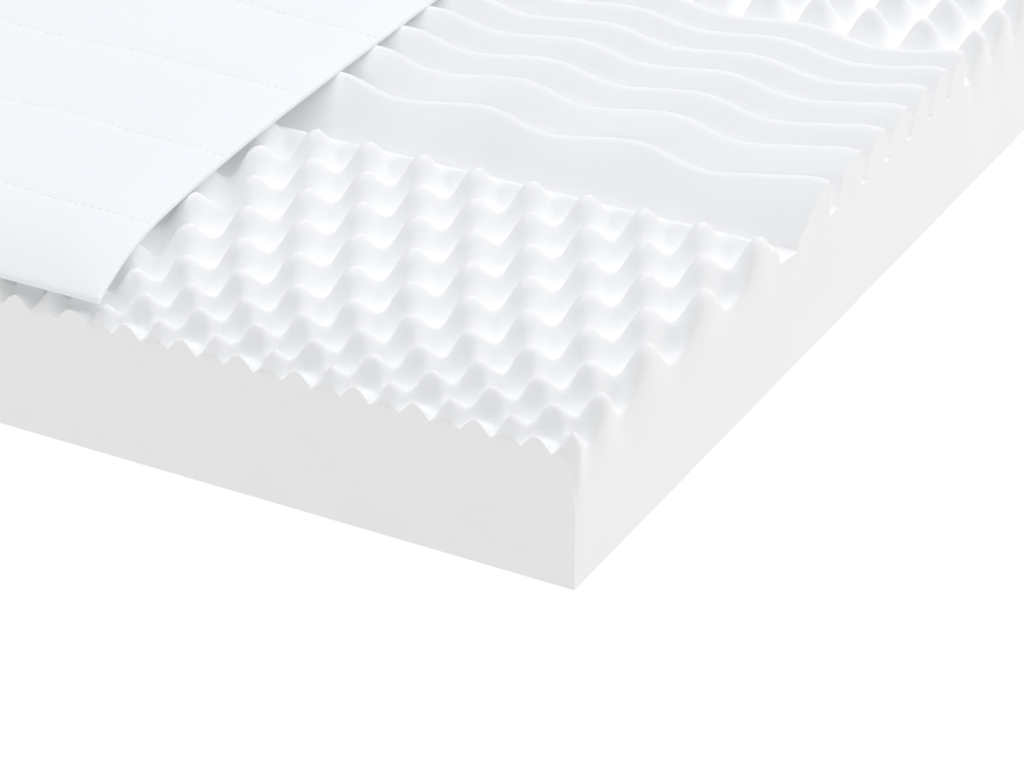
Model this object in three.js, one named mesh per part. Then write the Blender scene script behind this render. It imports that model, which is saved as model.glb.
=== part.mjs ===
// Foam mattress: a core of one block of foam whose top is cut into zones of cones, ribs and bumps,
// and a quilted cover panel that lies on one half of it.
// Millimetres. X runs across the width, Y along the length from the foot end, Z up.

import * as THREE from "three";

// Driving sizes of the core
const WIDTH = 900;
const LENGTH = 2000;
const FULL_HEIGHT = 140;
const VALLEY_HEIGHT = 107;

// Lattice that the cones and the bumps stand on: lines along the length, half a pitch apart
const SIDE_MARGIN = 7;
const LATTICE_LINES = 37;
const HALF_PITCH = (WIDTH - 2 * SIDE_MARGIN) / (LATTICE_LINES - 1);

// How far the top drops where it meets the long sides, and the share of a cone that is left there
const SIDE_DROP = 2;
const SIDE_CONE_SHARE = 0.75;

// Squeezed rows of cones at an end of the core: distance from the end, and height of the tips
const END_CONE_ROWS = [
  { y: 0, tip: 118 },
  { y: 8, tip: 125.5 },
  { y: 27, tip: 130.5 },
  { y: 51, tip: 134 },
  { y: 80, tip: 138 },
];

// Regular rows of cones that follow them
const CONE_ROW_START = 121;
const CONE_ROW_PITCH = 47.5;
const CONE_ROW_COUNT = 5;

// The first two rows stand so close that the valley between neighbours is cut at a quarter pitch
const FINE_ROWS = 2;
const END_FLANK_HEIGHT = 124;
const BEHIND_END_TIP_HEIGHT = 112;

// Width of the step down from the last cones to the groove in front of the ribs
const CONE_ZONE_STEP = 4;

// Wavy cross ribs: distance of each crest from the end, how far its wave swings either way, and
// the place of the wave's last top at the right
const RIBS = [
  { crest: 408, wave: 10.5, topX: 426 },
  { crest: 468.5, wave: 10.5, topX: 427 },
  { crest: 516, wave: 9.5, topX: 430 },
  { crest: 563, wave: 9, topX: 433 },
  { crest: 606, wave: 8.5, topX: 437 },
  { crest: 647.5, wave: 8, topX: 441 },
  { crest: 687, wave: 7.5, topX: 446 },
];
const WAVE_LENGTH = 138;
const FIRST_RIB_FOOT = 352;
const FIRST_RIB_FOOT_HEIGHT = 109;
const GROOVE_HEIGHT = 108;

// At the right side the ribs swing further than their wave does
const SIDE_SWING = 9;
const SIDE_SWING_START_X = 410;
const SIDE_SWING_END_X = 440;

// Section of a rib from its foot to its crest, as shares of its length and of its height: the
// first is a smooth ramp, the others have a groove, a steep front and a ramp
const FIRST_RIB_SECTION = [
  { along: 0, rise: 0 },
  { along: 0.2, rise: 0.33 },
  { along: 0.5, rise: 0.71 },
  { along: 1, rise: 1 },
];
const RIB_SECTION = [
  { along: 0.04, rise: 0 },
  { along: 0.4, rise: 0 },
  { along: 0.46, rise: 0.62 },
  { along: 0.7, rise: 0.86 },
  { along: 1, rise: 1 },
];
const RIB_BACK_WIDTH = 2;

// Rounder bumps of the middle zone, in straight rows
const BUMP_ROW_START = 750;
const BUMP_ROW_PITCH = 50;

// Quilted cover panel: thin at its hems, drawn in a little at its seams
const PANEL_GAP = 0.3;
const PANEL_THICKNESS = 8.5;
const PANEL_HEM_THICKNESS = 3;
const PANEL_SEAM_DEPTH = 2.5;
const PANEL_SEAM_SOFTNESS = 12;
const PANEL_SEAM_PITCH = 127;
const PANEL_FIRST_SEAM = 102;
const PANEL_STEPS_PER_PAD = 4;
const PANEL_SIDE_INSET = 1;
const PANEL_HEM = 14;
const PANEL_COLUMNS = [0.2, 0.4, 0.6, 0.8];

// Free edge of the panel: its place along most of the length, and its flare towards the foot end
const PANEL_EDGE_X = 7;
const PANEL_FLARE = 44;
const PANEL_FLARE_LENGTH = 165;

// Droop of the panel over the lower cones at both ends
const PANEL_DROOP = 12;
const PANEL_DROOP_LENGTH = 104;
const PANEL_DROOP_POWER = 1.8;

// Slight waviness of the seams
const SEAM_WANDER = 3;
const SEAM_WANDER_LENGTH = 190;

const FOAM_COLOUR = 0xf3f3f4;
const PANEL_COLOUR = 0xf7fafc;

// X of a line of the lattice, counted in half pitches from the left
function latticeX(line) {
  return -WIDTH / 2 + SIDE_MARGIN + line * HALF_PITCH;
}

// Heights that the top has at a long side, from its height on the outermost line of the lattice
const coneSideHeight = (z) => VALLEY_HEIGHT - SIDE_DROP + (z - VALLEY_HEIGHT) * SIDE_CONE_SHARE;
const ribSideHeight = (z) => z - SIDE_DROP;

// A station is a row of points across the width: one at each side, one on each line of the lattice
// and, where fine is true, one halfway between the lines. shapeAt gives a point's y and z.
function makeStation(shapeAt, { fine = false, sideHeight = coneSideHeight } = {}) {
  const step = fine ? 0.5 : 1;
  const points = [];
  for (let line = 0; line <= LATTICE_LINES - 1; line += step) {
    const x = latticeX(line);
    const { y, z } = shapeAt(line, x);
    points.push(new THREE.Vector3(x, y, z));
  }
  const sidePoint = (inner, x) => {
    const { y } = shapeAt(0, x);
    return new THREE.Vector3(x, y, sideHeight(inner.z));
  };
  points.unshift(sidePoint(points[0], -WIDTH / 2));
  points.push(sidePoint(points[points.length - 1], WIDTH / 2));
  return { points, fine };
}

// All rows of cones from the end inwards; every second row has its tips on the outermost lines
function coneRows() {
  const rows = [...END_CONE_ROWS];
  for (let i = 0; i < CONE_ROW_COUNT; i += 1) {
    rows.push({ y: CONE_ROW_START + i * CONE_ROW_PITCH, tip: FULL_HEIGHT });
  }
  return rows.map((row, index) => ({ ...row, parity: (index + 1) % 2 }));
}

// The two squeezed rows at the face, with a valley on both sides of every cone
function endStations(rows) {
  const [face, second] = rows;
  const stationAt = (y, faceHeight, secondHeight) =>
    makeStation((line) => {
      if (!Number.isInteger(line)) {
        return { y, z: VALLEY_HEIGHT };
      }
      return { y, z: line % 2 === face.parity ? faceHeight : secondHeight };
    }, { fine: true });
  return [
    stationAt(face.y, face.tip, END_FLANK_HEIGHT),
    stationAt(second.y, BEHIND_END_TIP_HEIGHT, second.tip),
  ];
}

// Zone of staggered cones: a station on every row, one at half height between rows, and a step
// down where the last row is cut off at half height
function coneStations() {
  const rows = coneRows();
  const stations = endStations(rows);
  for (let i = FINE_ROWS; i < rows.length; i += 1) {
    const row = rows[i];
    const before = rows[i - 1];
    const isTip = (line) => line % 2 === row.parity;
    if (i > FINE_ROWS) {
      const middle = (Math.min(before.tip, row.tip) + VALLEY_HEIGHT) / 2;
      stations.push(makeStation(() => ({ y: (before.y + row.y) / 2, z: middle })));
    }
    stations.push(makeStation((line) => ({ y: row.y, z: isTip(line) ? row.tip : VALLEY_HEIGHT })));
  }
  const last = rows[rows.length - 1];
  const end = last.y + CONE_ROW_PITCH / 2;
  stations.push(makeStation(() => ({ y: end, z: (last.tip + VALLEY_HEIGHT) / 2 })));
  stations.push(makeStation(() => ({ y: end + CONE_ZONE_STEP, z: VALLEY_HEIGHT })));
  return stations;
}

// Distance from the end of a rib's crest at a place across the width
function crestLine({ crest, wave, topX }, x) {
  const turns = (Math.min(x, topX) - topX) / WAVE_LENGTH;
  const swing = (x - SIDE_SWING_START_X) / (SIDE_SWING_END_X - SIDE_SWING_START_X);
  const side = SIDE_SWING * THREE.MathUtils.clamp(swing, 0, 1);
  return crest + wave * Math.cos(2 * Math.PI * turns) + side;
}

// Stations of one rib, from the line of its foot to the line of its crest
function ribStations(foot, footHeight, rib, section) {
  return section.map(({ along, rise }) => makeStation((line, x) => ({
    y: THREE.MathUtils.lerp(crestLine(foot, x), crestLine(rib, x), along),
    z: footHeight + (FULL_HEIGHT - footHeight) * rise,
  }), { sideHeight: ribSideHeight }));
}

// Zone of wavy ribs: each rib rises from the foot of the one before and ends in an upright flank
function ribZoneStations() {
  const firstFoot = { ...RIBS[0], crest: FIRST_RIB_FOOT };
  const stations = ribStations(firstFoot, FIRST_RIB_FOOT_HEIGHT, RIBS[0], FIRST_RIB_SECTION);
  for (let i = 1; i < RIBS.length; i += 1) {
    stations.push(...ribStations(RIBS[i - 1], GROOVE_HEIGHT, RIBS[i], RIB_SECTION));
  }
  const last = RIBS[RIBS.length - 1];
  stations.push(makeStation((line, x) => ({
    y: crestLine(last, x) + RIB_BACK_WIDTH,
    z: VALLEY_HEIGHT,
  })));
  return stations;
}

// Zone of bumps, up to the middle of the length: a valley, then a row of bumps, and so on
function bumpStations() {
  const stations = [];
  const isTop = (line) => line % 2 === 0;
  for (let y = BUMP_ROW_START; y <= LENGTH / 2; y += BUMP_ROW_PITCH) {
    stations.push(makeStation(() => ({ y: y - BUMP_ROW_PITCH / 2, z: VALLEY_HEIGHT })));
    stations.push(makeStation((line) => ({ y, z: isTop(line) ? FULL_HEIGHT : VALLEY_HEIGHT })));
  }
  return stations;
}

// The same zones follow in reverse order on the other half of the length
function mirroredStations(stations) {
  const mirrored = stations.slice(0, -1).reverse();
  return mirrored.map(({ points, fine }) => ({
    points: points.map(({ x, y, z }) => new THREE.Vector3(x, LENGTH - y, z)),
    fine,
  }));
}

// Collects points and triangles of one closed body
class BodyBuilder {
  constructor() {
    this.positions = [];
    this.triangles = [];
  }

  addPoint(x, y, z) {
    this.positions.push(x, y, z);
    return this.positions.length / 3 - 1;
  }

  // Triangles between two rows of points with the same count
  addStrip(row, next) {
    for (let i = 0; i < row.length - 1; i += 1) {
      this.triangles.push(row[i], row[i + 1], next[i + 1]);
      this.triangles.push(row[i], next[i + 1], next[i]);
    }
  }

  // Triangles between a row that has extra middle points and the coarser row beside it
  addStitchedStrip(fineRow, coarseRow, fineFirst) {
    const push = (a, b, c) => this.triangles.push(...(fineFirst ? [a, b, c] : [a, c, b]));
    let fineIndex = 0;
    for (let i = 0; i < coarseRow.length - 1; i += 1) {
      const start = fineRow[fineIndex];
      const isSide = i === 0 || i === coarseRow.length - 2;
      if (isSide) {
        const end = fineRow[fineIndex + 1];
        push(start, end, coarseRow[i + 1]);
        push(start, coarseRow[i + 1], coarseRow[i]);
        fineIndex += 1;
      } else {
        const middle = fineRow[fineIndex + 1];
        const end = fineRow[fineIndex + 2];
        push(start, middle, coarseRow[i]);
        push(middle, end, coarseRow[i + 1]);
        push(middle, coarseRow[i + 1], coarseRow[i]);
        fineIndex += 2;
      }
    }
  }

  // A flat face from its outline; drop is the axis that the face doesn't vary along
  addFlatFace(outline, drop, flip) {
    const [u, v] = [0, 1, 2].filter((axis) => axis !== drop);
    const flat = outline.map((index) => new THREE.Vector2(
      this.positions[index * 3 + u],
      this.positions[index * 3 + v],
    ));
    const reversed = THREE.ShapeUtils.isClockWise(flat);
    const faces = THREE.ShapeUtils.triangulateShape(reversed ? [...flat].reverse() : flat, []);
    const ordered = reversed ? [...outline].reverse() : outline;
    faces.forEach(([a, b, c]) => {
      this.triangles.push(ordered[a], ordered[flip ? c : b], ordered[flip ? b : c]);
    });
  }

  toGeometry() {
    const geometry = new THREE.BufferGeometry();
    geometry.setAttribute("position", new THREE.Float32BufferAttribute(this.positions, 3));
    geometry.setIndex(this.triangles);
    const faceted = geometry.toNonIndexed();
    faceted.computeVertexNormals();
    return faceted;
  }
}

// Foam core: the zoned top, four upright faces and a flat underside
function makeCoreGeometry() {
  const half = [...coneStations(), ...ribZoneStations(), ...bumpStations()];
  const stations = [...half, ...mirroredStations(half)];
  const body = new BodyBuilder();
  const rows = stations.map(({ points, fine }) => ({
    indices: points.map(({ x, y, z }) => body.addPoint(x, y - LENGTH / 2, z)),
    fine,
  }));
  for (let i = 0; i < rows.length - 1; i += 1) {
    const row = rows[i];
    const next = rows[i + 1];
    if (row.fine === next.fine) {
      body.addStrip(row.indices, next.indices);
    } else if (row.fine) {
      body.addStitchedStrip(row.indices, next.indices, true);
    } else {
      body.addStitchedStrip(next.indices, row.indices, false);
    }
  }
  const footLeft = body.addPoint(-WIDTH / 2, -LENGTH / 2, 0);
  const footRight = body.addPoint(WIDTH / 2, -LENGTH / 2, 0);
  const headRight = body.addPoint(WIDTH / 2, LENGTH / 2, 0);
  const headLeft = body.addPoint(-WIDTH / 2, LENGTH / 2, 0);
  const leftTop = rows.map(({ indices }) => indices[0]);
  const rightTop = rows.map(({ indices }) => indices[indices.length - 1]);
  body.addFlatFace([footLeft, footRight, ...[...rows[0].indices].reverse()], 1, false);
  body.addFlatFace([headRight, headLeft, ...rows[rows.length - 1].indices], 1, true);
  body.addFlatFace([footRight, headRight, ...[...rightTop].reverse()], 0, false);
  body.addFlatFace([headLeft, footLeft, ...leftTop], 0, true);
  body.addFlatFace([footLeft, headLeft, headRight, footRight], 2, true);
  return body.toGeometry();
}

// Height of the panel's underside at a distance from the foot end
function panelUnderside(y) {
  const fromEnd = Math.min(y, LENGTH - y);
  const share = Math.max(0, 1 - fromEnd / PANEL_DROOP_LENGTH);
  return FULL_HEIGHT + PANEL_GAP - PANEL_DROOP * share ** PANEL_DROOP_POWER;
}

// Thickness of the panel away from its hems, which the nearest seam draws in
function quiltThickness(y) {
  const phase = (y - PANEL_FIRST_SEAM) / PANEL_SEAM_PITCH;
  const fromSeam = Math.abs(phase - Math.round(phase)) * PANEL_SEAM_PITCH;
  return PANEL_THICKNESS - PANEL_SEAM_DEPTH * Math.exp(-fromSeam / PANEL_SEAM_SOFTNESS);
}

// Distances from the foot end at which the panel has points: the hems, the seams and between them
function panelStationYs() {
  const step = PANEL_SEAM_PITCH / PANEL_STEPS_PER_PAD;
  const first = PANEL_FIRST_SEAM % step;
  const ys = [PANEL_SIDE_INSET, PANEL_SIDE_INSET + PANEL_HEM];
  for (let y = first; y < LENGTH; y += step) {
    if (y > PANEL_HEM * 2 && y < LENGTH - PANEL_HEM * 2) {
      ys.push(y);
    }
  }
  ys.push(LENGTH - PANEL_SIDE_INSET - PANEL_HEM, LENGTH - PANEL_SIDE_INSET);
  return ys;
}

// Quilted cover panel: padded top, underside that follows the tips it lies on, thin hem all round
function makePanelGeometry() {
  const body = new BodyBuilder();
  const ys = panelStationYs();
  const left = -WIDTH / 2 + PANEL_SIDE_INSET;
  const rows = ys.map((y, index) => {
    const edge = PANEL_EDGE_X + PANEL_FLARE * Math.exp(-y / PANEL_FLARE_LENGTH);
    const inner = PANEL_COLUMNS.map((share) => left + (edge - left) * share);
    const xs = [left, left + PANEL_HEM, ...inner, edge - PANEL_HEM, edge];
    const isHem = index === 0 || index === ys.length - 1;
    const isInner = index > 1 && index < ys.length - 2;
    const under = [];
    const top = [];
    xs.forEach((x, column) => {
      const padded = !isHem && column > 0 && column < xs.length - 1;
      const thickness = padded ? quiltThickness(y) : PANEL_HEM_THICKNESS;
      const wander = isInner ? SEAM_WANDER * Math.sin((2 * Math.PI * x) / SEAM_WANDER_LENGTH) : 0;
      const place = y + wander;
      const base = panelUnderside(place);
      under.push(body.addPoint(x, place - LENGTH / 2, base));
      top.push(body.addPoint(x, place - LENGTH / 2, base + thickness));
    });
    return { under, top };
  });
  for (let i = 0; i < rows.length - 1; i += 1) {
    body.addStrip(rows[i].top, rows[i + 1].top);
    body.addStrip(rows[i + 1].under, rows[i].under);
  }
  const last = rows.length - 1;
  const leftUnder = rows.map(({ under }) => under[0]);
  const leftTop = rows.map(({ top }) => top[0]);
  const rightUnder = rows.map(({ under }) => under[under.length - 1]);
  const rightTop = rows.map(({ top }) => top[top.length - 1]);
  body.addStrip(rows[0].under, rows[0].top);
  body.addStrip(rows[last].top, rows[last].under);
  body.addStrip(rightUnder, rightTop);
  body.addStrip(leftTop, leftUnder);
  return body.toGeometry();
}

function makeMesh(name, geometry, colour, roughness) {
  const material = new THREE.MeshStandardMaterial({ color: colour, roughness, metalness: 0 });
  const mesh = new THREE.Mesh(geometry, material);
  mesh.name = name;
  return mesh;
}

const mattress = new THREE.Group();
mattress.name = "foam_mattress";
mattress.add(makeMesh("foam_core", makeCoreGeometry(), FOAM_COLOUR, 0.9));
mattress.add(makeMesh("cover_panel", makePanelGeometry(), PANEL_COLOUR, 0.8));

export default mattress;
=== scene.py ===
"""Looks of a foam mattress: a core cut into zones of cones, ribs and bumps, and its quilted cover panel.

Metres. X runs across the width, Y along the length from the foot end at -1, Z up from the floor.
"""

import logging
import math
from dataclasses import dataclass, field, replace
from enum import Enum

import bpy
import numpy as np
from mathutils import Matrix, Vector

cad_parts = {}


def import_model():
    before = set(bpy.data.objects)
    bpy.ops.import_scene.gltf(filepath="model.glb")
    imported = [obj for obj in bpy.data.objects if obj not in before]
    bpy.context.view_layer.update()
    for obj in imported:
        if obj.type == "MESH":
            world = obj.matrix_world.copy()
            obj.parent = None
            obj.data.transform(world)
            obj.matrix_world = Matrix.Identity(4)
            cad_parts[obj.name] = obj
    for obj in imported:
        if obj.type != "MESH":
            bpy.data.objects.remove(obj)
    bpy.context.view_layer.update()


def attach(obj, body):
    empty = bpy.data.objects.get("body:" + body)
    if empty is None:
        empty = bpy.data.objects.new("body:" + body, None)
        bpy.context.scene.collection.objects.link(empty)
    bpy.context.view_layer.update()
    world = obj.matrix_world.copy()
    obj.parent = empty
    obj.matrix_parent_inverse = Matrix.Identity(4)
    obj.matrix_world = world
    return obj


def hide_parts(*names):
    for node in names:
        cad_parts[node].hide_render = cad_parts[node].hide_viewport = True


MM = 0.001
log = logging.getLogger("mattress")


class Relief(Enum):
    """Numbers that every point of the foam blank carries for the cut."""

    ROWS = "rows"
    CONE = "cone"
    BUMP = "bump"
    FACE_BLEND = "face_blend"
    FACE_WIDE = "face_wide"
    FACE_NARROW = "face_narrow"
    RAMP = "ramp"
    WAVE = "wave"
    WAVE_TOP = "wave_top"
    SWING = "swing"
    RIM = "rim"
    FLUTE = "flute"
    SHARE = "share"


def linear_colour(hex_colour: str) -> tuple[float, float, float, float]:
    """Turns an sRGB colour into the linear one that Blender's shaders read.

    Args:
        hex_colour: six hex digits, such as "f3f3f4".

    Returns:
        Red, green, blue and alpha, from 0 to 1.
    """
    values = [int(hex_colour[i : i + 2], 16) / 255 for i in (0, 2, 4)]
    linear = [v / 12.92 if v <= 0.04045 else ((v + 0.055) / 1.055) ** 2.4 for v in values]
    return (*linear, 1.0)


def add_node(
    tree: bpy.types.NodeTree,
    kind: str,
    inputs: dict[int | str, object] | None = None,
    **settings: object,
) -> bpy.types.Node:
    """Adds one node to a tree, with its settings and links.

    Args:
        tree: node tree of a material, a world or a modifier.
        kind: Blender's name of the node's type.
        inputs: value or linked output socket for each named or numbered input.
        **settings: properties of the node itself.

    Returns:
        The new node.
    """
    node = tree.nodes.new(kind)
    for name, value in settings.items():
        setattr(node, name, value)
    for key, value in (inputs or {}).items():
        if isinstance(value, bpy.types.NodeSocket):
            tree.links.new(value, node.inputs[key])
        else:
            node.inputs[key].default_value = value
    return node


def add_formula(
    tree: bpy.types.NodeTree,
    known: dict[str, bpy.types.NodeSocket],
    steps: tuple[tuple, ...],
) -> None:
    """Adds a chain of math nodes that is written as named steps.

    Args:
        tree: node tree that gets the chain.
        known: output sockets by name; each step adds its own.
        steps: rows of name, operation and operands, which are names or numbers.
    """
    for name, operation, *operands in steps:
        inputs = {i: known[o] if isinstance(o, str) else o for i, o in enumerate(operands)}
        node = add_node(tree, "ShaderNodeMath", inputs, operation=operation, label=name)
        known[name] = node.outputs[0]


def add_tree(
    name: str, sizes: dict[str, float]
) -> tuple[bpy.types.NodeTree, bpy.types.Node, dict[str, str]]:
    """Starts a Geometry Nodes tree with a mesh, a material and named sizes as its inputs.

    Args:
        name: name of the tree.
        sizes: name and value of each size.

    Returns:
        The tree, its input node, and the identifier of each input by name.
    """
    tree = bpy.data.node_groups.new(name, "GeometryNodeTree")
    tree.interface.new_socket("Geometry", in_out="INPUT", socket_type="NodeSocketGeometry")
    tree.interface.new_socket("Geometry", in_out="OUTPUT", socket_type="NodeSocketGeometry")
    material = tree.interface.new_socket(
        "Material", in_out="INPUT", socket_type="NodeSocketMaterial"
    )
    identifiers = {"Material": material.identifier}
    for size, value in sizes.items():
        socket = tree.interface.new_socket(size, in_out="INPUT", socket_type="NodeSocketFloat")
        socket.default_value = value
        identifiers[size] = socket.identifier
    return tree, tree.nodes.new("NodeGroupInput"), identifiers


def grow(
    piece: bpy.types.Object,
    tree: bpy.types.NodeTree,
    identifiers: dict[str, str],
    values: dict[str, object],
) -> None:
    """Runs a Geometry Nodes tree on a piece and keeps the result as its plain mesh.

    Args:
        piece: object whose mesh the tree starts from.
        tree: finished tree.
        identifiers: identifier of each input by name.
        values: value of each input by name.
    """
    modifier = piece.modifiers.new(tree.name, "NODES")
    modifier.node_group = tree
    for name, value in values.items():
        modifier[identifiers[name]] = value
    evaluated = piece.evaluated_get(bpy.context.evaluated_depsgraph_get())
    mesh = bpy.data.meshes.new_from_object(evaluated)
    piece.modifiers.remove(modifier)
    piece.data = mesh


def add_piece(name: str, points: np.ndarray, faces: list[tuple[int, ...]]) -> bpy.types.Object:
    """Makes a mesh object at the origin.

    Args:
        name: name of the piece.
        points: one row of x, y and z for each point.
        faces: corner indices of each face, counter-clockwise from outside.

    Returns:
        The new object, linked to the scene.
    """
    mesh = bpy.data.meshes.new(name)
    mesh.from_pydata(points.tolist(), [], faces)
    piece = bpy.data.objects.new(name, mesh)
    bpy.context.scene.collection.objects.link(piece)
    return piece


def smooth(mesh: bpy.types.Mesh, crease: float) -> None:
    """Shades a mesh smooth up to a crease angle, in degrees."""
    mesh.polygons.foreach_set("use_smooth", np.ones(len(mesh.polygons), bool))
    mesh.set_sharp_from_angle(angle=math.radians(crease))


def start_material(
    name: str,
) -> tuple[bpy.types.Material, bpy.types.NodeTree, bpy.types.NodeSocket]:
    """Starts a material whose patterns read the piece's own coordinates.

    Args:
        name: name of the material.

    Returns:
        The material, its empty node tree, and the socket of the coordinates.
    """
    material = bpy.data.materials.new(name)
    material.use_nodes = True
    tree = material.node_tree
    tree.nodes.clear()
    return material, tree, add_node(tree, "ShaderNodeTexCoord").outputs["Object"]


def wave_scale(period: float) -> float:
    """Scale at which Blender's wave texture repeats about once in each period, in metres."""
    return 1 / (math.pi * period)


def end_tree(
    tree: bpy.types.NodeTree, start: bpy.types.Node, shape: bpy.types.NodeSocket
) -> None:
    """Ends a Geometry Nodes tree with real geometry that carries its material.

    Args:
        tree: the tree.
        start: its input node.
        shape: socket of the finished shape.
    """
    real = add_node(tree, "GeometryNodeRealizeInstances", {0: shape})
    inputs = {"Geometry": real.outputs[0], "Material": start.outputs["Material"]}
    dressed = add_node(tree, "GeometryNodeSetMaterial", inputs)
    add_node(tree, "NodeGroupOutput", {0: dressed.outputs[0]})


def eased(share: float) -> float:
    """A share kept between 0 and 1 that starts and ends gently."""
    share = min(1.0, max(0.0, share))
    return share * share * (3 - 2 * share)


def spaced(start: float, end: float, step: float) -> np.ndarray:
    """Evenly spaced places from start up to, but without, end.

    Args:
        start: first place.
        end: place after the last.
        step: distance wanted between places.

    Returns:
        The places.
    """
    count = max(2, round((end - start) / step))
    return np.linspace(start, end, count, endpoint=False)


@dataclass(frozen=True)
class CutFoam:
    """Flexible polyurethane foam as the blade leaves it: matt, with fine open cells."""

    colour: str = "f9f9f9"
    shaded_colour: str = "f6f6f6"
    glow: float = 0.052
    cell: float = 1.6 * MM
    mottle: float = 60 * MM

    def make(self) -> bpy.types.Material:
        """Builds the foam's node tree.

        Returns:
            The material.
        """
        material, tree, place = start_material("cut_polyurethane_foam")
        # Cells are 0.5 to 1 mm across; they are drawn twice as coarse, so that a grain shows
        inputs = {"Vector": place, "Scale": 1 / self.cell, "Randomness": 1.0}
        cells = add_node(tree, "ShaderNodeTexVoronoi", inputs, feature="F1")
        inputs = {"Vector": place, "Scale": 1 / (3 * self.cell), "Detail": 3.0}
        grain = add_node(tree, "ShaderNodeTexNoise", inputs)
        inputs = {0: cells.outputs["Distance"], 1: 0.6, 2: grain.outputs["Fac"]}
        depth = add_node(tree, "ShaderNodeMath", inputs, operation="MULTIPLY_ADD")
        inputs = {"Height": depth.outputs[0], "Strength": 0.12, "Distance": 0.5 * MM}
        bump = add_node(tree, "ShaderNodeBump", inputs)
        inputs = {"Vector": place, "Scale": 1 / self.mottle, "Detail": 2.0, "Roughness": 0.4}
        mottle = add_node(tree, "ShaderNodeTexNoise", inputs)
        tones = {"A": linear_colour(self.colour), "B": linear_colour(self.shaded_colour)}
        tones["Factor"] = mottle.outputs["Fac"]
        tone = add_node(tree, "ShaderNodeMix", tones, data_type="RGBA")
        # Matt, without gloss. The faint white glow is painted light: it lightens the whole foam so that
        # its hollows and shadows never go dark, in place of the light that wanders through the cells
        surface = add_node(
            tree,
            "ShaderNodeBsdfPrincipled",
            {
                "Base Color": tone.outputs["Result"],
                "Roughness": 0.92,
                "Specular IOR Level": 0.2,
                "Emission Color": (1.0, 1.0, 1.0, 1.0),
                "Emission Strength": self.glow,
                "Normal": bump.outputs["Normal"],
            },
        )
        add_node(tree, "ShaderNodeOutputMaterial", {"Surface": surface.outputs[0]})
        return material


@dataclass(frozen=True)
class KnittedTicking:
    """Polyester ticking, knitted fine and quilted: soft sheen, faint courses of stitches."""

    colour: str = "f6f9fa"
    course_colour: str = "f2f5f7"
    glow: float = 0.084
    course: float = 2.4 * MM
    wale: float = 2.0 * MM

    def make(self) -> bpy.types.Material:
        """Builds the ticking's node tree.

        Returns:
            The material.
        """
        material, tree, place = start_material("knitted_polyester_ticking")
        # Knit stitches are about 1 mm apart; they are drawn twice as coarse, so that they show
        waves = {"Vector": place, "Distortion": 0.6, "Detail": 1.0}
        rows = waves | {"Scale": wave_scale(self.course)}
        courses = add_node(tree, "ShaderNodeTexWave", rows, bands_direction="Y")
        columns = waves | {"Scale": wave_scale(self.wale)}
        wales = add_node(tree, "ShaderNodeTexWave", columns, bands_direction="X")
        inputs = {0: courses.outputs["Fac"], 1: wales.outputs["Fac"]}
        knit = add_node(tree, "ShaderNodeMath", inputs, operation="MULTIPLY")
        inputs = {"Height": knit.outputs[0], "Strength": 0.15, "Distance": 0.4 * MM}
        bump = add_node(tree, "ShaderNodeBump", inputs)
        tones = {"A": linear_colour(self.course_colour), "B": linear_colour(self.colour)}
        tones["Factor"] = knit.outputs[0]
        tone = add_node(tree, "ShaderNodeMix", tones, data_type="RGBA")
        # Painted light: the faint bluish glow lightens the cloth all over, its underside too, so that
        # the shade under the panel's edge stays pale; it stands for the light that thin white cloth
        # passes
        surface = add_node(
            tree,
            "ShaderNodeBsdfPrincipled",
            {
                "Base Color": tone.outputs["Result"],
                "Roughness": 0.8,
                "Specular IOR Level": 0.3,
                "Emission Color": (0.96, 0.98, 1.0, 1.0),
                "Emission Strength": self.glow,
                "Sheen Weight": 0.15,
                "Sheen Roughness": 0.5,
                "Normal": bump.outputs["Normal"],
            },
        )
        add_node(tree, "ShaderNodeOutputMaterial", {"Surface": surface.outputs[0]})
        return material


@dataclass(frozen=True)
class SpunThread:
    """Spun polyester sewing thread: white, twisted, a little brighter than the cloth."""

    colour: str = "f6f9fa"
    shaded_colour: str = "f3f6f8"
    glow: float = 0.084
    twist: float = 0.9 * MM

    def make(self) -> bpy.types.Material:
        """Builds the thread's node tree.

        Returns:
            The material.
        """
        material, tree, place = start_material("spun_polyester_thread")
        inputs = {"Vector": place, "Scale": wave_scale(self.twist), "Distortion": 0.4}
        plies = add_node(tree, "ShaderNodeTexWave", inputs, bands_direction="DIAGONAL")
        tones = {"A": linear_colour(self.shaded_colour), "B": linear_colour(self.colour)}
        tones["Factor"] = plies.outputs["Fac"]
        tone = add_node(tree, "ShaderNodeMix", tones, data_type="RGBA")
        # Painted light: the faint bluish glow lightens the thread, as it does the cloth
        surface = add_node(
            tree,
            "ShaderNodeBsdfPrincipled",
            {
                "Base Color": tone.outputs["Result"],
                "Roughness": 0.6,
                "Sheen Weight": 0.2,
                "Emission Color": (0.96, 0.98, 1.0, 1.0),
                "Emission Strength": self.glow,
            },
        )
        add_node(tree, "ShaderNodeOutputMaterial", {"Surface": surface.outputs[0]})
        return material


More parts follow.
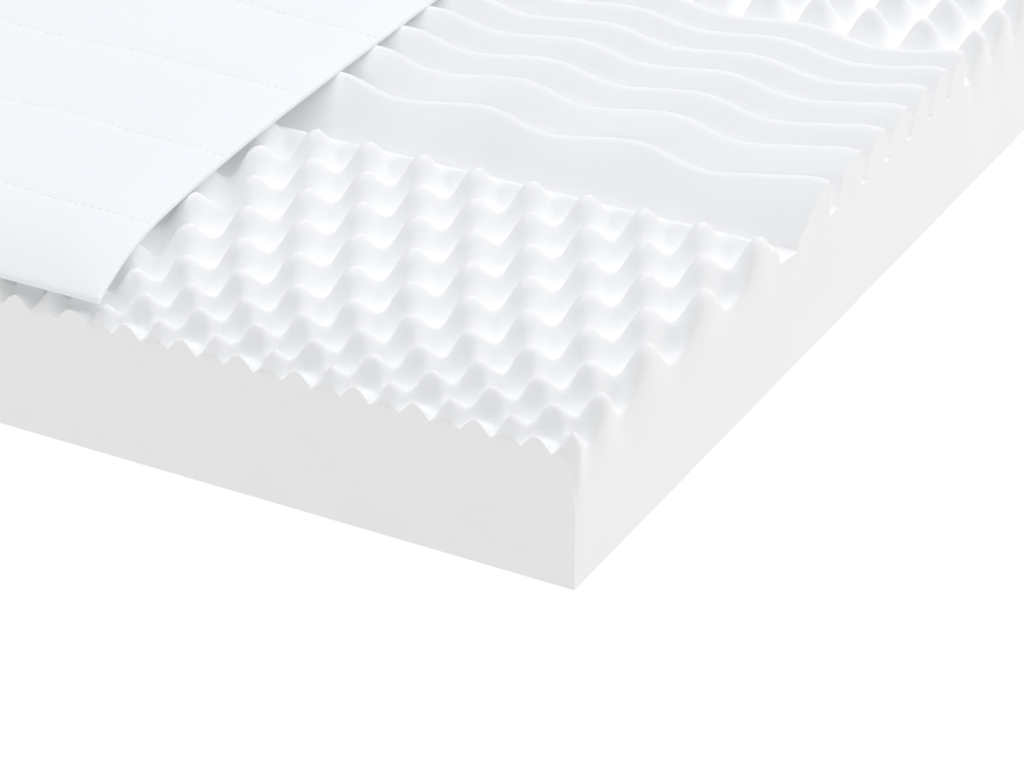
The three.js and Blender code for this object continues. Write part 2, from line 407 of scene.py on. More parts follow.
@dataclass(frozen=True)
class BacklitAcrylic:
    """White acrylic table top, lit from below so that it stays white all round the object."""

    colour: str = "6e6e6e"
    cloud_colour: str = "6a6a6a"
    glow: float = 0.92
    cloud: float = 400 * MM

    def make(self) -> bpy.types.Material:
        """Builds the table top's node tree.

        Returns:
            The material.
        """
        material, tree, place = start_material("backlit_white_acrylic")
        cloud = add_node(tree, "ShaderNodeTexNoise", {"Vector": place, "Scale": 1 / self.cloud})
        tones = {"A": linear_colour(self.colour), "B": linear_colour(self.cloud_colour)}
        tones["Factor"] = cloud.outputs["Fac"]
        tone = add_node(tree, "ShaderNodeMix", tones, data_type="RGBA")
        surface = add_node(
            tree,
            "ShaderNodeBsdfPrincipled",
            {
                "Base Color": tone.outputs["Result"],
                "Roughness": 1.0,
                "Specular IOR Level": 0.0,
                "Emission Color": (1.0, 1.0, 1.0, 1.0),
                "Emission Strength": self.glow,
            },
        )
        add_node(tree, "ShaderNodeOutputMaterial", {"Surface": surface.outputs[0]})
        return material


@dataclass(frozen=True)
class ConeRow:
    """A row of cones: distance from the end of the core and height of the tips."""

    distance: float
    tip: float


@dataclass(frozen=True)
class Rib:
    """A wavy rib: distance of its crest from the end, swing of its wave, place of the last top."""

    crest: float
    wave: float
    top: float


@dataclass(frozen=True)
class SectionPoint:
    """A corner of the ribs' section: share of the way between two crests, and height."""

    share: float
    height: float


@dataclass(frozen=True)
class Station:
    """A line of points across the core, and what the cut does along it."""

    distance: float
    rows: float = 0.0
    cone: float = 0.0
    bump: float = 0.0
    face_blend: float = 0.0
    face_wide: float = 0.0
    face_narrow: float = 0.0
    ramp: float = 0.0
    wave: float = 0.0
    wave_top: float = 0.430
    swing: float = 0.0
    rim: float = 0.0
    flute: float = 0.0


@dataclass
class FoamCore:
    """One block of foam whose top is cut into staggered cones, wavy cross ribs and rounder bumps."""

    width: float = 0.900
    length: float = 2.000
    full_height: float = 0.140
    valley: float = 0.107
    side_margin: float = 0.007
    pitch: float = 0.886 / 18
    end_rows: tuple[ConeRow, ...] = (
        ConeRow(0.000, 0.118),
        ConeRow(0.008, 0.1255),
        ConeRow(0.027, 0.1305),
        ConeRow(0.051, 0.134),
        ConeRow(0.080, 0.138),
    )
    cone_row_start: float = 0.121
    cone_row_pitch: float = 0.0475
    cone_row_count: int = 5
    face_merge: float = 0.022
    cone_stop: float = 0.3360
    cone_stop_height: float = 0.1230
    cone_step: float = 0.0025
    edge_flat: float = 0.0035
    edge_ramp: float = 0.011
    wide_at_face: float = 0.28
    wide_rise: float = 0.58
    narrow_fall: float = 0.55
    valley_width: float = 1.25
    tip_roundness: float = 0.4
    bump_roundness: float = 0.7
    hump_roundness: float = 0.42
    hump_spread: float = 0.3
    ribs: tuple[Rib, ...] = (
        Rib(0.4070, 0.0105, 0.424),
        Rib(0.4671, 0.0105, 0.426),
        Rib(0.5149, 0.0095, 0.430),
        Rib(0.5619, 0.0090, 0.431),
        Rib(0.6046, 0.0085, 0.437),
        Rib(0.6460, 0.0082, 0.441),
        Rib(0.6850, 0.0075, 0.447),
    )
    rib_foot: float = 0.352
    first_section: tuple[SectionPoint, ...] = (
        SectionPoint(0.00, 0.1030),
        SectionPoint(0.03, 0.1095),
        SectionPoint(0.09, 0.1142),
    )
    section: tuple[SectionPoint, ...] = (
        SectionPoint(0.22, 0.1070),
        SectionPoint(0.35, 0.1080),
        SectionPoint(0.378, 0.1180),
        SectionPoint(0.42, 0.1240),
        SectionPoint(0.47, 0.1285),
        SectionPoint(0.53, 0.1315),
    )
    groove: float = 0.108
    crest_front: float = 0.0060
    crest_drop: float = 0.0008
    crest_back: float = 0.0032
    lip_drop: float = 0.0018
    rib_back: float = 0.0048
    wave_length: float = 0.138
    side_swing: float = 0.009
    swing_start: float = 0.408
    swing_width: float = 0.034
    bump_start: float = 0.750
    bump_pitch: float = 0.050
    cone_rim: float = 0.008
    rib_rim: float = 0.0008
    rim_width: float = 0.011
    flute_depth: float = 0.0075
    corner_flute: float = 0.0145
    flute_width: float = 0.025
    flute_start: float = 0.030
    flute_foot: float = 0.45
    flute_fade: float = 1.4
    bump_flute: float = 0.6
    corner_reach: float = 0.028
    cone_spacing: tuple[float, float] = (0.0040, 0.0065)
    rib_detail: tuple[float, float] = (1.0, 0.6)
    bump_spacing: tuple[float, float] = (0.0042, 0.0062)
    open_columns: int = 12
    covered_columns: int = 8
    side_offsets: tuple[float, ...] = (0.0, 0.0008, 0.002, 0.004)
    wall_shares: tuple[float, ...] = (0.0, 0.3, 0.5, 0.64, 0.76, 0.86, 0.94)
    crease: float = 48.0

    def cone_rows(self) -> list[ConeRow]:
        """All rows of cones from the end inwards.

        Returns:
            The rows, the nearest to the end first.
        """
        regular = [
            ConeRow(self.cone_row_start + i * self.cone_row_pitch, self.full_height)
            for i in range(self.cone_row_count)
        ]
        return [*self.end_rows, *regular]

    def cone_stations(self, step: float) -> list[Station]:
        """Stations of the staggered cones, up to the step where the last row is cut off.

        Args:
            step: distance wanted between stations.

        Returns:
            The stations from the end inwards.
        """
        rows = self.cone_rows()
        places = np.array([row.distance for row in rows] + [rows[-1].distance + self.cone_row_pitch])
        tips = np.array([row.tip for row in rows] + [rows[-1].tip])
        stop = self.cone_stop
        ys = [spaced(a, b, min(step, (b - a) / 6)) for a, b in zip(places[:-2], places[1:-1])]
        ys.append(spaced(rows[-1].distance, stop, step))
        stations = []
        second = rows[1]
        for y in [*np.concatenate(ys), stop]:
            corner = max(0.0, 1 - y / self.corner_reach)
            inside = min(1.0, y / self.flute_start, (stop - y) / self.flute_start)
            level = eased(1 - (stop - self.edge_flat - y) / self.edge_ramp)
            merge = eased((y - second.distance) / (self.face_merge - second.distance))
            near = min(1.0, y / second.distance)
            rise = self.wide_at_face + self.wide_rise * near
            fall = 1 - self.narrow_fall * near
            stations.append(
                Station(
                    distance=float(y),
                    rows=float(np.interp(y, places, np.arange(len(places)) + 1.0)),
                    cone=(float(np.interp(y, places, tips)) - self.valley) * (1 - level),
                    ramp=(self.cone_stop_height - self.valley) * level,
                    face_blend=1 - merge,
                    face_wide=(second.tip - self.valley) * rise,
                    face_narrow=(rows[0].tip - self.valley) * fall,
                    rim=self.cone_rim,
                    flute=self.flute_depth * inside + self.corner_flute * corner,
                )
            )
        last = stations[-1]
        for share in (0.12, 0.4, 0.75, 1.0):
            left = math.cos(math.pi / 2 * share)
            stations.append(
                replace(
                    last,
                    distance=stop + self.cone_step * share,
                    ramp=last.ramp * left,
                    rim=self.rib_rim + (last.rim - self.rib_rim) * left,
                )
            )
        return stations

    def rib_stations(self, detail: float) -> list[Station]:
        """Stations of the wavy ribs: groove, steep front, straight ramp, round crest and back.

        Args:
            detail: share of the stations on the crests that is kept.

        Returns:
            The stations from the first rib's foot to the last one's back.
        """
        front = np.linspace(-self.crest_front, 0.0, max(3, round(5 * detail)))
        lip = np.linspace(0.0, self.crest_back, max(3, round(5 * detail)))[1:]
        before = replace(self.ribs[0], crest=self.rib_foot)
        stations = []
        for rib in self.ribs:
            gap = rib.crest - before.crest
            if rib is self.ribs[0]:
                corners = self.first_section
            else:
                corners = (SectionPoint(self.rib_back / gap, self.groove), *self.section)
            for corner in corners:
                stations.append(self.rib_station(before, rib, corner.share, corner.height))
            for offset in front:
                height = self.full_height - self.crest_drop * (offset / self.crest_front) ** 2
                stations.append(self.rib_station(before, rib, 1 + offset / gap, height))
            for offset in lip:
                height = self.full_height - self.lip_drop * (offset / self.crest_back) ** 2.5
                stations.append(self.rib_station(before, rib, 1 + offset / gap, height))
            before = rib
        return stations

    def rib_station(self, before: Rib, rib: Rib, share: float, height: float) -> Station:
        """One station between two ribs, whose wave changes from the one to the other.

        Args:
            before: the rib in front.
            rib: the rib that the station belongs to.
            share: place between their crests, from 0 to 1.
            height: height of the top there.

        Returns:
            The station.
        """
        return Station(
            distance=before.crest + (rib.crest - before.crest) * share,
            rows=float(self.cone_row_count + len(self.end_rows)),
            ramp=height - self.valley,
            wave=before.wave + (rib.wave - before.wave) * share,
            wave_top=before.top + (rib.top - before.top) * share,
            swing=self.side_swing,
            rim=self.rib_rim,
        )

    def bump_stations(self, step: float) -> list[Station]:
        """Stations of the bumps, up to the middle of the length.

        Args:
            step: distance wanted between stations.

        Returns:
            The stations from the last rib's back to the middle.
        """
        last = self.ribs[-1]
        back = last.crest + self.rib_back
        first_valley = self.bump_start - self.bump_pitch / 2
        gap = spaced(back, first_valley, 2 * step)
        ys = [*gap, *spaced(first_valley, self.length / 2, step), self.length / 2]
        stations = []
        for y in ys:
            inside = y >= first_valley
            share = min(1.0, max(0.0, (y - back) / (first_valley - back)))
            stations.append(
                Station(
                    distance=float(y),
                    rows=2 * (max(y, first_valley) - self.bump_start) / self.bump_pitch,
                    bump=(self.full_height - self.valley) if inside else 0.0,
                    wave=last.wave * (1 - share),
                    wave_top=last.top,
                    swing=self.side_swing * (1 - share),
                    rim=self.rib_rim + (self.cone_rim - self.rib_rim) * share,
                    flute=self.flute_depth * self.bump_flute if inside else 0.0,
                )
            )
        return stations

    def stations(self) -> list[Station]:
        """All stations along the length; the far half, out of the photograph, is coarser.

        Returns:
            The stations from the foot end to the head end.
        """
        near, far = (
            [*self.cone_stations(cones), *self.rib_stations(ribs), *self.bump_stations(bumps)]
            for cones, ribs, bumps in zip(self.cone_spacing, self.rib_detail, self.bump_spacing)
        )
        mirrored = [
            replace(s, distance=self.length - s.distance, wave=-s.wave, swing=-s.swing)
            for s in reversed(far[:-1])
        ]
        return [*near, *mirrored]

    def columns(self) -> np.ndarray:
        """Places across the width, closer on the open half and at the sides.

        Returns:
            The places from left to right.
        """
        half = self.width / 2
        outer = half - self.side_margin
        open_half = np.arange(outer, 0.0, -self.pitch / self.open_columns)
        step = self.pitch / self.covered_columns
        covered = np.arange(-outer, open_half[-1] - step / 2, step)
        side = np.array(self.side_offsets)
        return np.concatenate([-half + side, covered, open_half[::-1], (half - side)[::-1]])

    def blank(self) -> bpy.types.Object:
        """The uncut block: a closed mesh whose points carry what the cut needs.

        Returns:
            The block as an object.
        """
        stations, xs = self.stations(), self.columns()
        count, across = len(stations), len(xs)
        ys = np.array([s.distance for s in stations]) - self.length / 2
        grid = np.arange(count * across).reshape(count, across)
        station_of = [np.repeat(np.arange(count), across)]
        points = [np.stack([np.tile(xs, count), np.repeat(ys, across)], axis=1)]
        shares = [np.ones(count * across)]
        rim = [grid[0], grid[:, -1], grid[-1][::-1], grid[:, 0][::-1]]
        loop = np.concatenate([side[:-1] for side in rim])
        faces = self.quads(grid)
        levels = []
        for share in self.wall_shares:
            start = sum(len(p) for p in points)
            levels.append(start + np.arange(len(loop)))
            points.append(points[0][loop])
            shares.append(np.full(len(loop), share))
            station_of.append(station_of[0][loop])
        levels.append(loop)
        for low, high in zip(levels, levels[1:]):
            faces += [
                (int(a), int(b), int(c), int(d))
                for a, b, c, d in zip(low, np.roll(low, -1), np.roll(high, -1), high)
            ]
        faces += self.underside(levels[0], count, across)
        flat = np.concatenate(points)
        block = add_piece("foam_block", np.column_stack([flat, np.zeros(len(flat))]), faces)
        where = np.concatenate(station_of)
        for name in Relief:
            layer = block.data.attributes.new(name.value, "FLOAT", "POINT")
            if name is Relief.SHARE:
                values = np.concatenate(shares)
            else:
                values = np.array([getattr(s, name.value) for s in stations])[where]
            layer.data.foreach_set("value", values.astype(np.float32))
        return block

    @staticmethod
    def quads(grid: np.ndarray) -> list[tuple[int, ...]]:
        """Faces between the points of a grid.

        Args:
            grid: point indices, in rows along the length and columns across.

        Returns:
            The faces, seen from above.
        """
        a, b, c, d = grid[:-1, :-1], grid[:-1, 1:], grid[1:, 1:], grid[1:, :-1]
        return np.stack([a, b, c, d], axis=-1).reshape(-1, 4).tolist()

    @staticmethod
    def underside(loop: np.ndarray, count: int, across: int) -> list[tuple[int, ...]]:
        """Faces of the flat underside, in strips across the width.

        Args:
            loop: the bottom points, once round from the left foot corner.
            count: number of stations along the length.
            across: number of columns across the width.

        Returns:
            The faces, seen from below.
        """
        foot = loop[:across]
        right = loop[across - 1 : across + count - 1]
        head = loop[across + count - 2 : 2 * across + count - 2]
        left = np.concatenate([loop[2 * across + count - 3 :], loop[:1]])[::-1]
        faces = [(int(left[1]), int(right[1]), *[int(p) for p in foot[::-1]])]
        for i in range(1, count - 2):
            faces.append((int(left[i]), int(left[i + 1]), int(right[i + 1]), int(right[i])))
        faces.append((int(right[-2]), int(left[-2]), *[int(p) for p in head[::-1]]))
        return faces

    def cut(self, block: bpy.types.Object, material: bpy.types.Material) -> None:
        """Cuts cones, ribs and bumps into the block with a Geometry Nodes tree.

        Args:
            block: the uncut block.
            material: the foam's finish.
        """
        sizes = {
            "Valley height": self.valley,
            "Full height": self.full_height,
            "First line": -self.width / 2 + self.side_margin,
            "Pitch": self.pitch,
            "Half width": self.width / 2,
            "Wave length": self.wave_length,
            "Swing start": self.swing_start,
            "Swing width": self.swing_width,
            "Rim width": self.rim_width,
            "Flute width": self.flute_width,
            "Flute foot": self.flute_foot,
            "Flute fade": self.flute_fade,
            "Valley width": self.valley_width,
            "Tip roundness": self.tip_roundness,
            "Bump roundness": self.bump_roundness,
            "Hump roundness": self.hump_roundness,
            "Hump spread": self.hump_spread,
        }
        tree, start, identifiers = add_tree("relief_cut", sizes)
        known = {size: start.outputs[size] for size in sizes}
        place = add_node(tree, "GeometryNodeInputPosition").outputs[0]
        parts = add_node(tree, "ShaderNodeSeparateXYZ", {0: place})
        known |= {"x": parts.outputs[0], "y": parts.outputs[1]}
        for name in Relief:
            inputs = {"Name": name.value}
            layer = add_node(tree, "GeometryNodeInputNamedAttribute", inputs, data_type="FLOAT")
            known[name.value] = layer.outputs["Attribute"]
        add_formula(
            tree,
            known,
            (
                ("from_line", "SUBTRACT", "x", "First line"),
                ("turns", "DIVIDE", "from_line", "Pitch"),
                ("angle", "MULTIPLY", "turns", math.tau),
                ("across", "COSINE", "angle"),
                ("row_angle", "MULTIPLY", "rows", math.pi),
                ("along", "COSINE", "row_angle"),
                # Staggered cones: both waves multiplied, as in an egg crate, then opened at the
                # valleys and rounded at the tips
                ("crate", "MULTIPLY", "across", "along"),
                ("crate_share", "MULTIPLY_ADD", "crate", 0.5, 0.5),
                ("crate_clear", "MAXIMUM", "crate_share", 0.0),
                ("crate_open", "POWER", "crate_clear", "Valley width"),
                ("crate_square", "MULTIPLY", "crate_open", "crate_open"),
                ("crate_rest", "MULTIPLY_ADD", "crate_open", -2.0, 3.0),
                ("crate_round", "MULTIPLY", "crate_square", "crate_rest"),
                ("crate_gain", "SUBTRACT", "crate_round", "crate_open"),
                ("crate_form", "MULTIPLY_ADD", "crate_gain", "Tip roundness", "crate_open"),
                ("cones", "MULTIPLY", "crate_form", "cone"),
                # Humps at the end face, one on every line: wide ones between narrow ones
                ("double_angle", "MULTIPLY", "angle", 2.0),
                ("double", "COSINE", "double_angle"),
                ("hump_share", "MULTIPLY_ADD", "double", 0.5, 0.5),
                ("hump_clear", "MAXIMUM", "hump_share", 0.0),
                ("wide_share", "MULTIPLY_ADD", "across", 0.5, 0.5),
                ("hump_power", "MULTIPLY_ADD", "wide_share", "Hump spread", "Hump roundness"),
                ("hump_form", "POWER", "hump_clear", "hump_power"),
                ("face_step", "SUBTRACT", "face_wide", "face_narrow"),
                ("face_height", "MULTIPLY_ADD", "face_step", "wide_share", "face_narrow"),
                ("humps", "MULTIPLY", "hump_form", "face_height"),
                ("hump_step", "SUBTRACT", "humps", "cones"),
                ("cone_zone", "MULTIPLY_ADD", "hump_step", "face_blend", "cones"),
                # Bumps in straight rows
                ("bump_across", "MAXIMUM", "wide_share", 0.0),
                ("along_share", "MULTIPLY_ADD", "along", 0.5, 0.5),
                ("bump_along", "MAXIMUM", "along_share", 0.0),
                ("bump_share", "MULTIPLY", "bump_across", "bump_along"),
                ("bump_form", "POWER", "bump_share", "Bump roundness"),
                ("bumps", "MULTIPLY", "bump_form", "bump"),
                ("cut_zones", "ADD", "cone_zone", "bumps"),
                ("relief", "ADD", "cut_zones", "ramp"),
                # The top rounds over at the long sides
                ("side", "ABSOLUTE", "x"),
                ("inwards", "SUBTRACT", "Half width", "side"),
                ("rim_out", "DIVIDE", "inwards", "Rim width"),
                ("rim_in", "SUBTRACT", 1.0, "rim_out"),
                ("rim_share", "MAXIMUM", "rim_in", 0.0),
                ("rim_square", "MULTIPLY", "rim_share", "rim_share"),
                ("rim_rest", "SUBTRACT", 1.0, "rim_square"),
                ("rim_clear", "MAXIMUM", "rim_rest", 0.0),
                ("rim_root", "SQRT", "rim_clear"),
                ("rim_fall", "SUBTRACT", 1.0, "rim_root"),
                ("drop", "MULTIPLY", "rim_fall", "rim"),
                ("top", "ADD", "relief", "Valley height"),
                ("top_round", "SUBTRACT", "top", "drop"),
                ("new_z", "MULTIPLY", "top_round", "share"),
                # Flutes run down the long sides from the valleys and fade out
                ("flute_out", "DIVIDE", "inwards", "Flute width"),
                ("flute_in", "SUBTRACT", 1.0, "flute_out"),
                ("flute_near", "MAXIMUM", "flute_in", 0.0),
                ("flute_near_2", "MULTIPLY", "flute_near", "flute_near"),
                ("height_share", "DIVIDE", "new_z", "Full height"),
                ("flute_high", "SUBTRACT", "height_share", "Flute foot"),
                ("flute_clear", "MAXIMUM", "flute_high", 0.0),
                ("flute_level", "DIVIDE", "flute_clear", 1 - self.flute_foot),
                ("flute_level_2", "POWER", "flute_level", "Flute fade"),
                ("valley_share", "SUBTRACT", 1.0, "bump_along"),
                ("flute_form", "MULTIPLY", "flute_near_2", "flute_level_2"),
                ("flute_valley", "MULTIPLY", "flute_form", "valley_share"),
                ("flute_shift", "MULTIPLY", "flute_valley", "flute"),
                ("sign", "SIGN", "x"),
                ("inset", "MULTIPLY", "flute_shift", "sign"),
                ("new_x", "SUBTRACT", "x", "inset"),
                # The wave that the ribs follow
                ("up_to_top", "MINIMUM", "x", "wave_top"),
                ("from_top", "SUBTRACT", "up_to_top", "wave_top"),
                ("wave_turns", "DIVIDE", "from_top", "Wave length"),
                ("wave_angle", "MULTIPLY", "wave_turns", math.tau),
                ("wave_form", "COSINE", "wave_angle"),
                ("wave_y", "MULTIPLY_ADD", "wave_form", "wave", "y"),
                # At the right side the ribs swing further than their wave does
                ("past_start", "SUBTRACT", "x", "Swing start"),
                ("past_share", "DIVIDE", "past_start", "Swing width"),
                ("past_clear", "MAXIMUM", "past_share", 0.0),
                ("past", "MINIMUM", "past_clear", 1.0),
                ("past_square", "MULTIPLY", "past", "past"),
                ("past_rest", "MULTIPLY_ADD", "past", -2.0, 3.0),
                ("past_form", "MULTIPLY", "past_square", "past_rest"),
                ("new_y", "MULTIPLY_ADD", "past_form", "swing", "wave_y"),
            ),
        )
        inputs = {i: known[name] for i, name in enumerate(("new_x", "new_y", "new_z"))}
        where = add_node(tree, "ShaderNodeCombineXYZ", inputs)
        inputs = {"Geometry": start.outputs["Geometry"], "Position": where.outputs[0]}
        moved = add_node(tree, "GeometryNodeSetPosition", inputs)
        end_tree(tree, start, moved.outputs[0])
        grow(block, tree, identifiers, {"Material": material, **sizes})
        for name in Relief:
            block.data.attributes.remove(block.data.attributes[name.value])
        smooth(block.data, self.crease)

    def build(self, finish: CutFoam) -> bpy.types.Object:
        """Makes the core and puts it in the place of its CAD solid.

        Args:
            finish: the foam's finish.

        Returns:
            The finished piece.
        """
        piece = self.blank()
        self.cut(piece, finish.make())
        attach(piece, "root")
        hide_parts("foam_core")
        return piece


@dataclass
class CoverPanel:
    """Quilted cover panel that lies on half of the core, with shallow wavy seams across it."""

    left: float = -0.449
    foot: float = 0.001
    length: float = 2.000
    edge: float = 0.007
    flare: float = 0.044
    flare_length: float = 0.165
    underside: float = 0.1403
    droop: float = 0.012
    droop_length: float = 0.104
    droop_power: float = 1.8
    cloth: float = 0.002
    quilt: float = 0.0085
    seam_depth: float = 0.0010
    seam_softness: float = 0.006
    first_seam: float = 0.102
    seam_pitch: float = 0.127
    wander: float = 0.003
    wander_length: float = 0.190
    hem: float = 0.055
    fold: float = 0.0025
    pucker: float = 0.0002
    pucker_length: float = 0.016
    pucker_reach: float = 0.010
    pucker_calm: float = 0.003
    lip_share: float = 0.22
    calm_ends: float = 0.040
    hem_clear: float = 0.058
    hem_offsets: tuple[float, ...] = (0.0, 0.0005, 0.0013, 0.0025, 0.010, 0.020, 0.032, 0.044, 0.055)
    seam_offsets: tuple[float, ...] = (
        *(0.0, 0.0012, 0.0028, 0.005, 0.008),
        *(0.012, 0.018, 0.026, 0.036, 0.048),
    )
    inner_columns: int = 64
    crease: float = 60.0

    def seam_places(self) -> np.ndarray:
        """Distances of the seams from the foot end."""
        return np.arange(self.first_seam, self.length - 0.03, self.seam_pitch)

    def free_edge(self, y: np.ndarray) -> np.ndarray:
        """Place across the width of the free edge, at distances from the foot end."""
        return self.edge + self.flare * np.exp(-y / self.flare_length)

    def base(self, y: np.ndarray) -> np.ndarray:
        """Height of the underside, which droops over the lower cones at both ends."""
        from_end = np.minimum(y, self.length - y)
        share = np.maximum(0.0, 1 - from_end / self.droop_length)
        return self.underside - self.droop * share**self.droop_power

    def shift(self, x: np.ndarray, y: np.ndarray) -> np.ndarray:
        """How far the cloth wanders along the length, for a place on it.

        Args:
            x: places across the width.
            y: distances from the foot end.

        Returns:
            The shifts, which vanish at the two end hems.
        """
        inside = np.clip(np.minimum(y, self.length - y) / self.calm_ends, 0, 1)
        return inside * self.wander * np.sin(math.tau * x / self.wander_length)

    def thickness(self, x: np.ndarray, y: np.ndarray) -> np.ndarray:
        """Thickness of the quilt: thin at its hems, drawn in a little at its seams.

        Args:
            x: places across the width.
            y: distances from the foot end, before the wander.

        Returns:
            The thickness at each place.
        """
        phase = (y - self.first_seam) / self.seam_pitch
        away = np.abs(phase - np.round(phase)) * self.seam_pitch
        pad = self.quilt - self.cloth - self.seam_depth * np.exp(-away / self.seam_softness)
        from_edge = np.minimum(x - self.left, self.free_edge(y) - x)
        from_end = np.minimum(y - self.foot, self.length - self.foot - y)
        inwards = np.minimum(from_edge, from_end)
        taper = np.sin(math.pi / 2 * np.clip(inwards / self.hem, 0, 1))
        fold = 1 - np.clip(inwards / self.fold, 0, 1)
        hem = self.lip_share * np.sqrt(1 - fold * fold) + (1 - self.lip_share) * taper
        ripple = self.pucker * np.sin(math.tau * x / self.pucker_length + 5 * np.round(phase))
        ripple = ripple * np.exp(-away / self.pucker_reach) * np.clip(away / self.pucker_calm, 0, 1)
        return self.cloth + (pad + ripple) * hem

    def rows(self) -> np.ndarray:
        """Distances from the foot end at which the panel has points.

        Returns:
            The distances, closest at the seams and hems.
        """
        near = np.array(self.seam_offsets)
        offsets = np.concatenate([near, [self.seam_pitch / 2], self.seam_pitch - near[:0:-1]])
        seams = np.arange(self.first_seam - self.seam_pitch, self.length, self.seam_pitch)
        inner = (seams[:, None] + offsets).ravel()
        hem = np.array(self.hem_offsets)
        first, last = self.foot, self.length - self.foot
        inner = inner[(inner > first + self.hem_clear) & (inner < last - self.hem_clear)]
        return np.concatenate([first + hem, inner, last - hem[::-1]])

    def build_panel(self) -> bpy.types.Object:
        """Makes the closed sheet of the panel.

        Returns:
            The panel as an object.
        """
        ys = self.rows()
        hem = np.array(self.hem_offsets)
        shares = np.linspace(0, 1, self.inner_columns + 2)[1:-1]
        count, across = len(ys), len(shares) + 2 * len(hem)
        x = np.empty((count, across))
        y = np.repeat(ys[:, None], across, axis=1)
        for row, distance in enumerate(ys):
            edge = float(self.free_edge(np.array(distance)))
            inner = self.left + self.hem + (edge - self.left - 2 * self.hem) * shares
            x[row] = np.concatenate([self.left + hem, inner, edge - hem[::-1]])
        place = y + self.shift(x, y)
        low = self.base(place)
        high = low + self.thickness(x, y)
        flat = place - self.length / 2
        top = np.stack([x, flat, high], axis=-1).reshape(-1, 3)
        under = np.stack([x, flat, low], axis=-1).reshape(-1, 3)
        grid = np.arange(count * across).reshape(count, across)
        faces = FoamCore.quads(grid)
        faces += [face[::-1] for face in FoamCore.quads(grid + grid.size)]
        loop = np.concatenate([grid[0][:-1], grid[:-1, -1], grid[-1][:0:-1], grid[:0:-1, 0]])
        for a, b in zip(loop, np.roll(loop, -1)):
            faces.append((int(a) + grid.size, int(b) + grid.size, int(b), int(a)))
        return add_piece("quilted_panel", np.concatenate([top, under]), faces)

    def build(self, finish: KnittedTicking) -> bpy.types.Object:
        """Makes the panel, dresses it and puts it in the place of its CAD solid.

        Args:
            finish: the cloth's finish.

        Returns:
            The finished piece.
        """
        piece = self.build_panel()
        piece.data.materials.append(finish.make())
        smooth(piece.data, self.crease)
        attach(piece, "root")
        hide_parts("cover_panel")
        return piece


@dataclass
class SeamStitches:
    """Lockstitches that hold the quilting, along every seam."""

    panel: CoverPanel
    stitch: float = 0.0042
    gap: float = 0.0026
    thread: float = 0.00035
    lift: float = 0.3
    inset: float = 0.004
    points: int = 120
    crease: float = 50.0

    def lines(self) -> bpy.types.Object:
        """The lines that the needle follows, lying on the cloth.

        Returns:
            An object of loose edges.
        """
        panel = self.panel
        points: list[list[float]] = []
        edges: list[tuple[int, int]] = []
        for seam in panel.seam_places():
            edge = float(panel.free_edge(np.array(seam)))
            x = np.linspace(panel.left + self.inset, edge - self.inset, self.points)
            y = np.full_like(x, seam)
            place = y + panel.shift(x, y)
            z = panel.base(place) + panel.thickness(x, y) + self.thread * self.lift
            first = len(points)
            points += np.column_stack([x, place - panel.length / 2, z]).tolist()
            edges += [(first + i, first + i + 1) for i in range(len(x) - 1)]
        mesh = bpy.data.meshes.new("seam_stitches")
        mesh.from_pydata(points, edges, [])
        line = bpy.data.objects.new("seam_stitches", mesh)
        bpy.context.scene.collection.objects.link(line)
        return line

    def build(self, finish: SpunThread) -> bpy.types.Object:
        """Sets a stitch on every step of the lines with a Geometry Nodes tree.

        Args:
            finish: the thread's finish.

        Returns:
            The finished piece.
        """
        sizes = {
            "Stitch length": self.stitch,
            "Stitch step": self.stitch + self.gap,
            "Thread radius": self.thread,
        }
        tree, start, identifiers = add_tree("stitch_line", sizes)
        curve = add_node(tree, "GeometryNodeMeshToCurve", {0: start.outputs["Geometry"]})
        inputs = {"Curve": curve.outputs[0], "Length": start.outputs["Stitch step"]}
        steps = add_node(tree, "GeometryNodeResampleCurve", inputs, mode="LENGTH")
        inputs = {"Radius": start.outputs["Thread radius"], "Depth": start.outputs["Stitch length"]}
        inputs |= {"Vertices": 6, "Side Segments": 2}
        thread = add_node(tree, "GeometryNodeMeshCylinder", inputs)
        inputs = {"Vector": add_node(tree, "GeometryNodeInputTangent").outputs[0]}
        turn = add_node(tree, "FunctionNodeAlignRotationToVector", inputs, axis="Z")
        inputs = {"Points": steps.outputs[0], "Instance": thread.outputs["Mesh"]}
        inputs["Rotation"] = turn.outputs[0]
        laid = add_node(tree, "GeometryNodeInstanceOnPoints", inputs)
        end_tree(tree, start, laid.outputs[0])
        piece = self.lines()
        grow(piece, tree, identifiers, {"Material": finish.make(), **sizes})
        smooth(piece.data, self.crease)
        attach(piece, "root")
        return piece


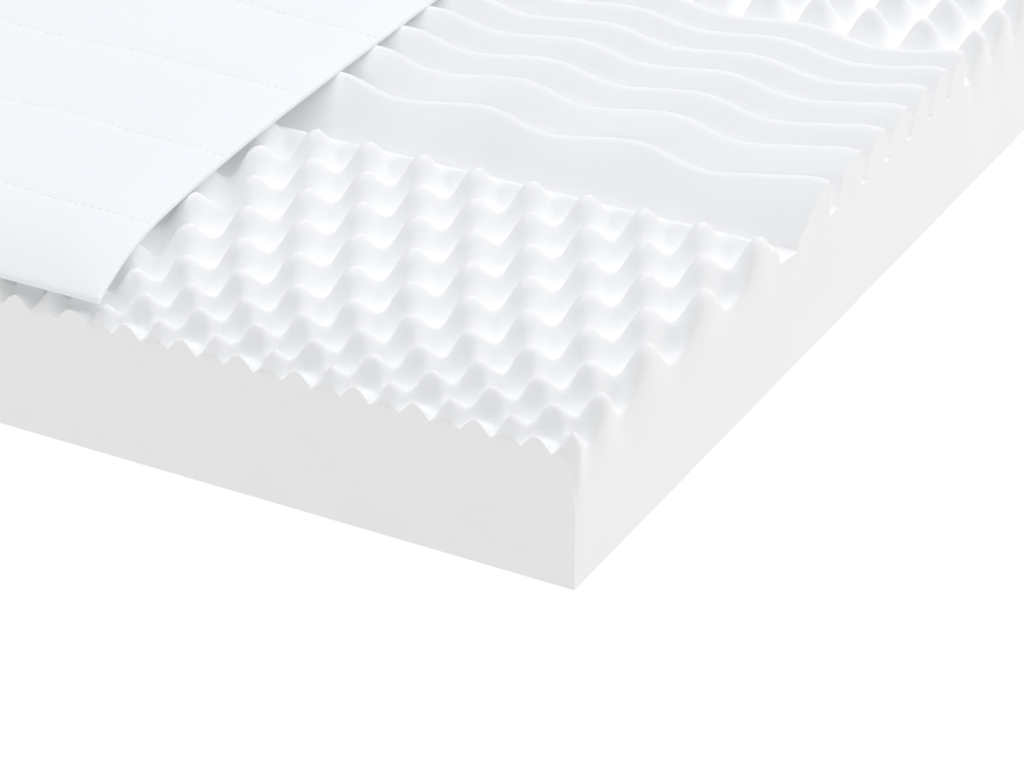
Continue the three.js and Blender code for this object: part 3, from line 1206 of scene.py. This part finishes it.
@dataclass
class Studio:
    """Plain pale floor and plain soft light: white all round, and one softbox behind the mattress."""

    floor_size: float = 16.0
    surround: float = 0.365
    key_power: float = 94.0
    key_size: float = 3.0
    key_distance: float = 6.0
    key_azimuth: float = 28.0
    key_elevation: float = 29.0
    overhead_power: float = 112.0
    overhead_size: float = 6.0
    overhead_height: float = 3.5
    floor_drop: float = 0.0004
    key_aim: tuple[float, float, float] = (0.1, -0.6, 0.1)
    overhead_aim: tuple[float, float, float] = (0.0, -0.4, 0.0)
    key_colour: tuple[float, float, float] = (0.99, 0.99, 1.0)
    overhead_colour: tuple[float, float, float] = (0.93, 0.955, 1.0)
    finish: BacklitAcrylic = field(default_factory=BacklitAcrylic)

    def build(self) -> None:
        """Makes the floor, the light all round and the softbox."""
        half = self.floor_size / 2
        corners = np.array([[-half, -half], [half, -half], [half, half], [-half, half]])
        points = np.column_stack([corners, np.full(4, -self.floor_drop)])
        floor = add_piece("studio_floor", points, [(0, 1, 2, 3)])
        floor.data.materials.append(self.finish.make())
        world = bpy.data.worlds.new("studio_surround")
        world.use_nodes = True
        world.node_tree.nodes.clear()
        white = {"Color": (1.0, 1.0, 1.0, 1.0), "Strength": self.surround}
        light = add_node(world.node_tree, "ShaderNodeBackground", white)
        add_node(world.node_tree, "ShaderNodeOutputWorld", {"Surface": light.outputs[0]})
        bpy.context.scene.world = world
        azimuth, elevation = math.radians(self.key_azimuth), math.radians(self.key_elevation)
        level = math.cos(elevation)
        away = Vector((math.sin(azimuth) * level, math.cos(azimuth) * level, math.sin(elevation)))
        key = (self.key_size, self.key_power, self.key_colour)
        self.softbox("back_softbox", Vector(self.key_aim), away * self.key_distance, *key)
        above = Vector((0.0, 0.0, self.overhead_height))
        overhead = (self.overhead_size, self.overhead_power, self.overhead_colour)
        self.softbox("overhead_softbox", Vector(self.overhead_aim), above, *overhead)

    @staticmethod
    def softbox(
        name: str,
        aim: Vector,
        away: Vector,
        size: float,
        power: float,
        colour: tuple[float, float, float],
    ) -> None:
        """Adds a square softbox that faces a point.

        Args:
            name: name of the lamp.
            aim: the point that it faces.
            away: from that point to the lamp.
            size: side of the square.
            power: radiant power in watts.
            colour: linear colour of the light.
        """
        lamp = bpy.data.lights.new(name, "AREA")
        lamp.shape = "SQUARE"
        lamp.size = size
        lamp.energy = power
        lamp.color = colour
        holder = bpy.data.objects.new(name, lamp)
        holder.location = aim + away
        holder.rotation_mode = "QUATERNION"
        holder.rotation_quaternion = away.to_track_quat("Z", "Y")
        bpy.context.scene.collection.objects.link(holder)


@dataclass
class PhotoCamera:
    """Camera at the photograph's viewing angle, as the straight edges of the mattress give it."""

    place: tuple[float, float, float] = (1.4729963, -2.9767623, 1.4280972)
    turned_left: float = 28.50789
    tilted_down: float = 29.50070
    lens: float = 130.27
    sensor: float = 36.0
    clip: tuple[float, float] = (0.05, 60.0)

    def build(self) -> bpy.types.Object:
        """Makes the camera and gives it to the scene.

        Returns:
            The camera.
        """
        data = bpy.data.cameras.new("photo_camera")
        data.lens = self.lens
        data.sensor_width = self.sensor
        data.clip_start, data.clip_end = self.clip
        camera = bpy.data.objects.new("photo_camera", data)
        turn = Matrix.Rotation(math.radians(self.turned_left), 4, "Z")
        tilt = Matrix.Rotation(math.radians(90 - self.tilted_down), 4, "X")
        camera.matrix_world = Matrix.Translation(self.place) @ turn @ tilt
        bpy.context.scene.collection.objects.link(camera)
        bpy.context.scene.camera = camera
        return camera


def main() -> None:
    """Builds the mattress on its frame, then the studio round it."""
    logging.basicConfig(level=logging.INFO, format="%(name)s: %(message)s")
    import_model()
    scene = bpy.context.scene
    scene.view_settings.view_transform = "Standard"

    core = FoamCore().build(CutFoam())
    log.info("%s: %d faces", core.name, len(core.data.polygons))
    cover = CoverPanel()
    panel = cover.build(KnittedTicking())
    log.info("%s: %d faces", panel.name, len(panel.data.polygons))
    stitches = SeamStitches(cover).build(SpunThread())
    log.info("%s: %d faces", stitches.name, len(stitches.data.polygons))

    Studio().build()
    PhotoCamera().build()


if __name__ == "__main__":
    main()
